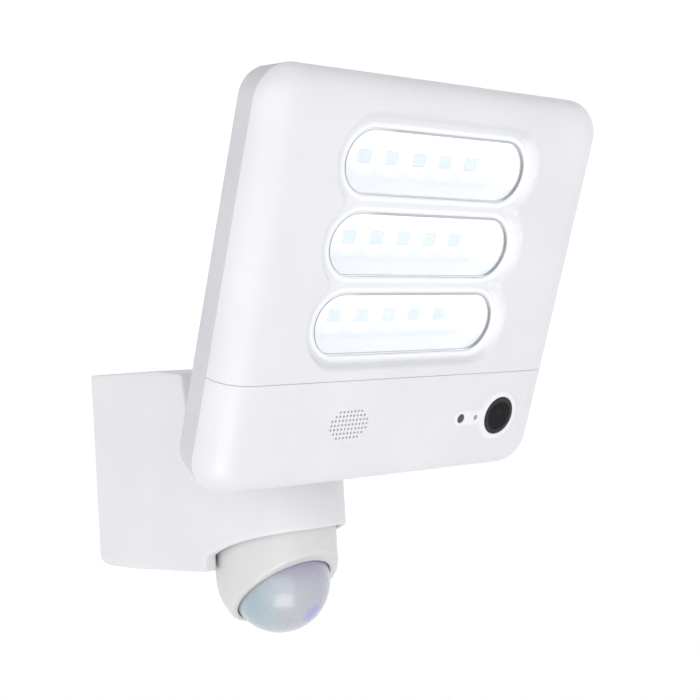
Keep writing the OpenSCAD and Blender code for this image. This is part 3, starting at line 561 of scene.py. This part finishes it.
def sleeve():
    """Shrink sleeve of a capacitor, without printing: dark, with slow changes of tone."""
    p = Paint("CapacitorSleeve", (0.03, 0.04, 0.09))
    p.tint(p.remap(p.noise(120), 0, 1), (0.025, 0.03, 0.08), (0.045, 0.06, 0.12))
    p.rough(p.noise(300), 0.22, 0.36).bump(p.noise(900), 0.008, 0.5)
    return p.mat


def clear(name, color, rough, ior, **sockets):
    """Clear moulded plastic or glass: a trace of haze and fine polish marks."""
    p = Paint(name, color, Transmission_Weight=1.0, IOR=ior, **sockets)
    p.tint(p.remap(p.noise(40), 0, 1), shade(color, 0.985), color)
    p.rough(p.noise(420, 3), rough, rough * 2.2)
    p.bump(p.noise(90, 2), 0.01, 0.25)
    return p.mat


def painted_shade_and_light_seal():
    """The windows' seals: grey rubber as painted shade for the dark gap round each pane, with painted light
    making them lighter towards their left ends.
    """
    p = Paint("WindowSealShadeAndLight", (0.50, 0.50, 0.53))
    # painted shade: the grey stands in for the dark gap round each pane
    grey = p.blend(p.remap(p.noise(22, 3), 0, 1), (0.49, 0.49, 0.52), (0.58, 0.58, 0.61))
    # painted light: the seal turns light grey towards its left end
    p.tint(p.along((1, 0, 0), (0, 0, 0), -RUN - 10, -RUN + 14), (0.93, 0.93, 0.94), grey)
    p.rough(p.noise(160, 3), 0.5, 0.65)
    p.bump(p.noise(700), 0.015, 0.35)
    return p.mat


def pane(row):
    """A clear window whose edge carries painted shade round its right end, in place of the housing's shaded
    wall seen through it.
    """
    color, dark = (0.99, 0.995, 1.0), (0.30, 0.31, 0.33)
    p = Paint("ClearWindow" + str(row), color, IOR=1.46)
    facing = p.node("VectorMath", operation="DOT_PRODUCT")
    facing.inputs[1].default_value = ON_HEAD.to_3x3() @ Vector((0, 0, 1))
    flat_on = p.node("Math", operation="ABSOLUTE")
    p.link(p.normals, facing.inputs[0]).link(facing.outputs["Value"], flat_on.inputs[0])
    # painted shade: the pane's side walls near its right end turn dark grey and opaque
    end = p.along((1, 0, 0), (0, 0, 0), RUN + 1, RUN + 5)
    edge = p.node("Math", operation="MULTIPLY")
    p.link(p.remap(flat_on.outputs[0], 1, 0, 0.3, 0.6), edge.inputs[0]).link(end, edge.inputs[1])
    p.tint(edge.outputs[0], color, dark)
    p.link(p.remap(edge.outputs[0], 1, 0, 0, 1), p.shader.inputs["Transmission Weight"])
    p.rough(p.noise(420, 3), 0.012, 0.026)
    p.bump(p.noise(90, 2), 0.01, 0.25)
    return p.mat


LENS = clear("LensGlass", (0.90, 0.93, 1.0), 0.01, 1.6, Coat_Weight=0.3)
TINTED = clear("CameraGlass", (0.22, 0.21, 0.25), 0.012, 1.22)


def reflector(row):
    """A white tray with painted light: a glow, bright and faintly green above, brighter streaks below the LEDs,
    and painted shade, lavender, in its lower third.
    """
    # the emission is a painted glow: the reflector is no lamp
    p = Paint("ReflectorPaintedGlow" + str(row), (0.90, 0.92, 0.97), Specular_IOR_Level=0.7, Coat_Weight=0.35,
              Coat_Roughness=0.12, Emission_Color=(0.92, 0.955, 1.0, 1), Emission_Strength=0.24)
    middle = ON_HEAD @ Vector((0, WINDOW_AT[row], 0))
    up_face = tuple(ON_HEAD.to_3x3() @ Vector((0, 1, 0)))
    # painted light: brighter streaks below each LED
    streaks = p.node("TexWave", bands_direction="X")
    streaks.inputs["Scale"].default_value = math.pi / (10 * LED_PITCH * MM)
    streaks.inputs["Distortion"].default_value = 0.5
    streaks.inputs["Phase Offset"].default_value = math.pi
    p.link(p.coord, streaks.inputs["Vector"])
    lit = p.blend(p.remap(p.noise(60, 3), 0, 1), (0.93, 0.97, 0.955), (0.97, 0.975, 0.98))
    # painted shade: the dimmer lavender of the lower third
    dim = (0.775, 0.785, 0.87)
    spill = p.blend(p.remap(streaks.outputs[1], 0.2, 0.9), dim, lit)
    low = p.blend(p.along(up_face, middle, -9.5, -6), dim, spill)
    p.tint(p.along(up_face, middle, -6, -2.8), low, lit)
    p.rough(p.noise(260, 3, squash=(5, 1, 1)), 0.16, 0.28)
    p.bump(p.noise(800), 0.01, 0.4)
    return p.mat


def led_face():
    """LED packages: a pale lens with fine phosphor grains and a faint painted glow."""
    # the emission is a faint painted glow
    p = Paint("LedLens", (0.64, 0.72, 0.78), Coat_Weight=0.6, Coat_Roughness=0.08,
              Emission_Color=(0.93, 0.97, 1.0, 1), Emission_Strength=0.27)
    spots = p.node("TexVoronoi")
    spots.inputs["Scale"].default_value = 420
    p.link(p.coord, spots.inputs["Vector"])
    p.tint(p.remap(spots.outputs["Distance"], 0, 1, 0.0, 0.6), (0.67, 0.74, 0.81), (0.62, 0.70, 0.78))
    p.rough(p.noise(500), 0.15, 0.25).bump(spots.outputs["Distance"], 0.01, 0.3)
    return p.mat


def milky():
    """The sensor's lens: milky plastic with a painted sheen, teal on one side and violet on the other."""
    p = Paint("PirLens", (0.41, 0.45, 0.50), Coat_Weight=0.8, Coat_Roughness=0.2)
    across = p.along((0.754, -0.654, -0.058), DOME_C, -DOME_R, DOME_R)
    # painted sheen: teal on one side of the dome, violet on the other
    sheen_ramp = p.node("ValToRGB")
    stops = sheen_ramp.color_ramp.elements
    stops[0].position, stops[0].color = 0.05, (0.40, 0.44, 0.51, 1)
    stops[1].position, stops[1].color = 1.0, (0.40, 0.41, 0.45, 1)
    for place, color in ((0.26, (0.31, 0.42, 0.45)), (0.44, (0.39, 0.46, 0.50)), (0.62, (0.44, 0.45, 0.48)),
                         (0.82, (0.43, 0.43, 0.47)), (0.92, (0.40, 0.39, 0.50))):
        stops.new(place).color = (*color, 1)
    p.link(across, sheen_ramp.inputs["Fac"])
    cloud = p.blend(p.remap(p.noise(55, 2), 0, 0.35), sheen_ramp.outputs["Color"], (0.43, 0.46, 0.50))
    rise = p.along((0, -0.1, 1), DOME_C, 3, 15)     # the dome's top lies in the holder's shade
    # painted sheen: a violet patch towards the dome's lower right edge
    sheen = p.blend(p.along((0.178, -0.772, -0.609), DOME_C, 0.955 * DOME_R, DOME_R), cloud, (0.31, 0.29, 0.60))
    p.tint(rise, sheen, (0.30, 0.29, 0.41))
    rings = p.node("TexWave", wave_type="RINGS", rings_direction="X")
    rings.inputs["Scale"].default_value = 95
    rings.inputs["Distortion"].default_value = 0
    p.link(p.coord, rings.inputs["Vector"])
    p.rough(p.noise(150), 0.24, 0.30)
    p.bump(rings.outputs[1], 0.004, 0.25)
    return p.mat


LED, MILKY, CIRCUIT = led_face(), milky(), circuit()

# every node: its material, its slot and how far its edges are eased, in mm
FINISH = {
    "rear_housing": (REAR_SHADED, "shell_plastic", 1.0),
    "wall_plate": (BRACKET, "bracket_plastic", 0.4), "cable_grommet": (RUBBER, "seal_rubber", 0.4),
    "terminal_block": (TERMINAL, "terminal_plastic", 0.3), "terminal_screws": (STEEL, "steel_zinc", 0.15),
    "power_board": (CIRCUIT, "circuit_green", 0.1), "transformer": (wound_yellow(), "transformer_yellow", 0.4),
    "capacitors": (sleeve(), "capacitor_sleeve", 0.5), "relay": (RELAY, "relay_blue", 0.4),
    "board_screws": (STEEL, "steel_zinc", 0.15), "housing_screws": (STEEL, "steel_zinc", 0.2),
    "pan_washer": (NYLON, "dark_nylon", 0.2), "pan_nut": (STEEL, "steel_zinc", 0.4),
    "cover_seal": (RUBBER, "seal_rubber", 0.3),
    "head_screws": (STEEL, "steel_zinc", 0.25), "heat_sink": (ALUMINIUM, "heat_sink_metal", 0.2),
    "camera_bezel": (BLACK, "black_plastic", 0.2), "camera_glass": (TINTED, "lens_glass", 0.15),
    "lens_barrel": (SATIN_BLACK, "black_plastic", 0.2), "front_lens": (LENS, "lens_glass", 0),
    "rear_lens": (LENS, "lens_glass", 0), "image_sensor": (SILICON, "sensor_silicon", 0.1),
    "camera_board": (CIRCUIT, "circuit_green", 0.1), "camera_holder": (SATIN_BLACK, "black_plastic", 0.3),
    "speaker_frame": (SATIN_BLACK, "speaker_black", 0.3), "speaker_cone": (CHIP, "speaker_black", 0),
    "speaker_magnet": (STEEL, "steel_zinc", 0.3), "main_board": (CIRCUIT, "circuit_green", 0.1),
    "board_chips": (CHIP, "chip_black", 0.2), "wifi_antenna": (COPPER, "flex_copper", 0.05),
    "tilt_bolt": (STEEL, "steel_zinc", 0.4), "tilt_nut": (STEEL, "steel_zinc", 0.4),
    "tilt_washers": (NYLON, "dark_nylon", 0.15),
    "pir_retainer": (NYLON, "dark_nylon", 0.3), "pir_seal": (RUBBER, "seal_rubber", 0.3),
    "pir_dome": (MILKY, "pir_lens", 0), "eye_shell": (IVORY, "ivory_plastic", 0.3),
    "pir_board": (CIRCUIT, "circuit_green", 0.1), "pyro_sensor": (STEEL, "steel_zinc", 0.2),
    "light_sensor": (SMOKED, "sensor_window", 0.35), "status_light": (PIPE, "light_pipe", 0.25),
    "window_seals": (painted_shade_and_light_seal(), "seal_rubber", 0.06),
}
for k, row in enumerate(("upper", "middle", "lower")):
    FINISH["window_" + row] = (pane(k), "clear_window", 0.15)
    FINISH["reflector_" + row] = (reflector(k), "reflector_white", 0.3)
    FINISH["led_board_" + row] = (BOARD_WHITE, "led_board_white", 0.1)
    FINISH["leds_" + row] = (LED, "led_lens", 0.35)
for name, (mat, slot, width) in FINISH.items():
    finish_node(name, mat, width, flat=0 if name.startswith("reflector") else FLAT)
# the moulded pieces with round edges: material, slot, voxel in mm and passes of smoothing
MOULDED = {
    "bracket_housing": (BRACKET, "bracket_plastic", 0.8, 16),
    "swivel_arm": (BRACKET, "bracket_plastic", 0.7, 10),
    "pir_holder": (IVORY, "ivory_plastic", 0.6, 22),
}
for name, (mat, slot, voxel, passes) in MOULDED.items():
    soften_node(name, mat, voxel, passes)
for row in ("upper", "middle", "lower"):
    NODES["window_" + row].visible_shadow = False
for name in ("pir_dome", "front_lens", "rear_lens", "speaker_cone"):
    for polygon in NODES[name].data.polygons:
        polygon.use_smooth = True
    NODES[name].modifiers.new("Weld", "WELD").merge_threshold = WELD
    NODES[name].modifiers.new("Normals", "WEIGHTED_NORMAL").keep_sharp = False


# ---------------------------------------------------------------- front covers
def anywhere(u, v):
    return np.ones(len(u), bool)


def near_recess(u, v):
    x = recess_gap(u, v)
    return (x > RECESS_FLOOR - 2) & (x < RECESS_TOP + 1.5)


def near_ring(u, v):
    ring = np.abs(np.hypot(u - CAMERA_U, v - CAMERA_V) - BEZEL_R - 2)
    bar = capsule(u, v, BAR_HALF, CAMERA_V, BAR_U)
    return (ring < 3.4) | (bar < 6.5)


def near_grille(u, v):
    return np.hypot(u - SPEAKER_U, v - SPEAKER_V) < 15


openings = [stadium_loop(at, 0) for at in WINDOW_AT]
guides = [stadium_loop(at, grow) for at in WINDOW_AT for grow in (0.06, 0.2, 0.5, 1.0, 1.5, 2.1, 2.7, 3.3)]
cover("front_face", 1, front_height, openings, guides, [(1.0, near_recess, 0.7), (4.5, anywhere, 2.6)], FRONT,
      "front_cover")
openings = [circle_loop(cu, cv, r, SPOT_POINTS) for cu, cv, r in SPOTS]
openings += [circle_loop(cu, cv, r, GRILLE_POINTS) for cu, cv, r in HOLES]
guides = [circle_loop(cu, cv, r + e, SPOT_POINTS) for cu, cv, r in SPOTS for e in (0.05, 0.15, 0.3)]
guides += [circle_loop(cu, cv, r + e, GRILLE_POINTS) for cu, cv, r in HOLES for e in (0.06, 0.16)]
cover("lower_face", -1, lower_height, openings, guides,
      [(0.8, near_ring, 0.5), (1.3, near_grille, 0.55), (4.5, anywhere, 2.4)], FRONT, "lower_cover")

# ---------------------------------------------------------------- stage, light and camera
stage_paint = Paint("StageWhite", (0.93, 0.93, 0.935), Emission_Color=(1, 1, 1, 1), Emission_Strength=0.26)
stage_paint.tint(stage_paint.remap(stage_paint.noise(3, 2), 0, 1), (0.925, 0.925, 0.93), (0.94, 0.94, 0.945))
stage_paint.rough(stage_paint.noise(30), 0.85, 0.95)
# a round floor that curves up into a wall, turned from a profile in metres
FLOOR_Z, FLOOR_R, CURVE_R, WALL_TOP, TURNS = -0.42, 1.5, 0.8, 1.7, 72
curve = [(FLOOR_R + CURVE_R * math.sin(a), FLOOR_Z + CURVE_R * (1 - math.cos(a)))
         for a in np.linspace(0.1, math.pi / 2, 14)]
profile = [(0.0, FLOOR_Z), (FLOOR_R, FLOOR_Z)] + curve + [(FLOOR_R + CURVE_R, WALL_TOP)]
points, faces = [], []
for k in range(TURNS):
    a = 2 * math.pi * k / TURNS
    points += [(r * math.cos(a), r * math.sin(a), z) for r, z in profile]
n = len(profile)
for k in range(TURNS):
    here, there = k * n, ((k + 1) % TURNS) * n
    faces += [(here + i, here + i + 1, there + i + 1, there + i) for i in range(1, n - 1)]
    faces.append((here, here + 1, there + 1))
mesh = bpy.data.meshes.new("Stage")
mesh.from_pydata(points, [], faces)
mesh.materials.append(stage_paint.mat)
mesh.polygons.foreach_set("use_smooth", [True] * len(mesh.polygons))
stage = bpy.data.objects.new("Stage", mesh)
bpy.context.scene.collection.objects.link(stage)

world = bpy.data.worlds.new("Studio")
bpy.context.scene.world = world
world.use_nodes = True
world.node_tree.nodes["Background"].inputs[0].default_value = (0.97, 0.98, 1.0, 1)
world.node_tree.nodes["Background"].inputs[1].default_value = 0.46


def softbox(name, place, aim, size, power):
    """A rectangular area light that the camera doesn't see."""
    lamp = bpy.data.lights.new(name, "AREA")
    lamp.shape = "RECTANGLE"
    lamp.size, lamp.size_y = size
    lamp.energy = power
    obj = bpy.data.objects.new(name, lamp)
    bpy.context.scene.collection.objects.link(obj)
    way = (Vector(aim) - Vector(place)).to_track_quat("-Z", "Y").to_matrix().to_4x4()
    obj.matrix_world = Matrix.Translation(place) @ way
    obj.visible_camera = False
    return obj


centre = (0.0, -0.13, 0.05)
softbox("KeyLeft", (-1.35, -0.75, 0.55), centre, (1.0, 1.2), 3.3)
softbox("Front", (-0.75, -1.45, 0.0), centre, (1.1, 0.9), 3.1)
softbox("Top", (0.2, -0.2, 1.5), centre, (1.0, 1.0), 1.8)
card = softbox("LowCard", (-0.18, -0.40, -0.325), [c * MM for c in DOME_C], (0.30, 0.26), 0.66)
card.visible_diffuse = False

# the photo's camera: its place, and the directions of its picture
lens = bpy.data.cameras.new("Camera")
lens.lens = 70.3
lens.sensor_width = 36
lens.clip_start = 0.01
camera = bpy.data.objects.new("Camera", lens)
bpy.context.scene.collection.objects.link(camera)
right = Vector((0.75437, -0.65389, -0.05801))
up = Vector((0.02948, -0.05454, 0.99808))
forward = Vector((0.65579, 0.75462, 0.02187))
pose = Matrix((right, up, -forward)).transposed().to_4x4()
pose.translation = Vector((-0.44535, -0.66747, 0.04222))
camera.matrix_world = pose
bpy.context.scene.camera = camera
bpy.context.scene.view_settings.view_transform = "Standard"
bpy.context.scene.view_settings.look = "None"
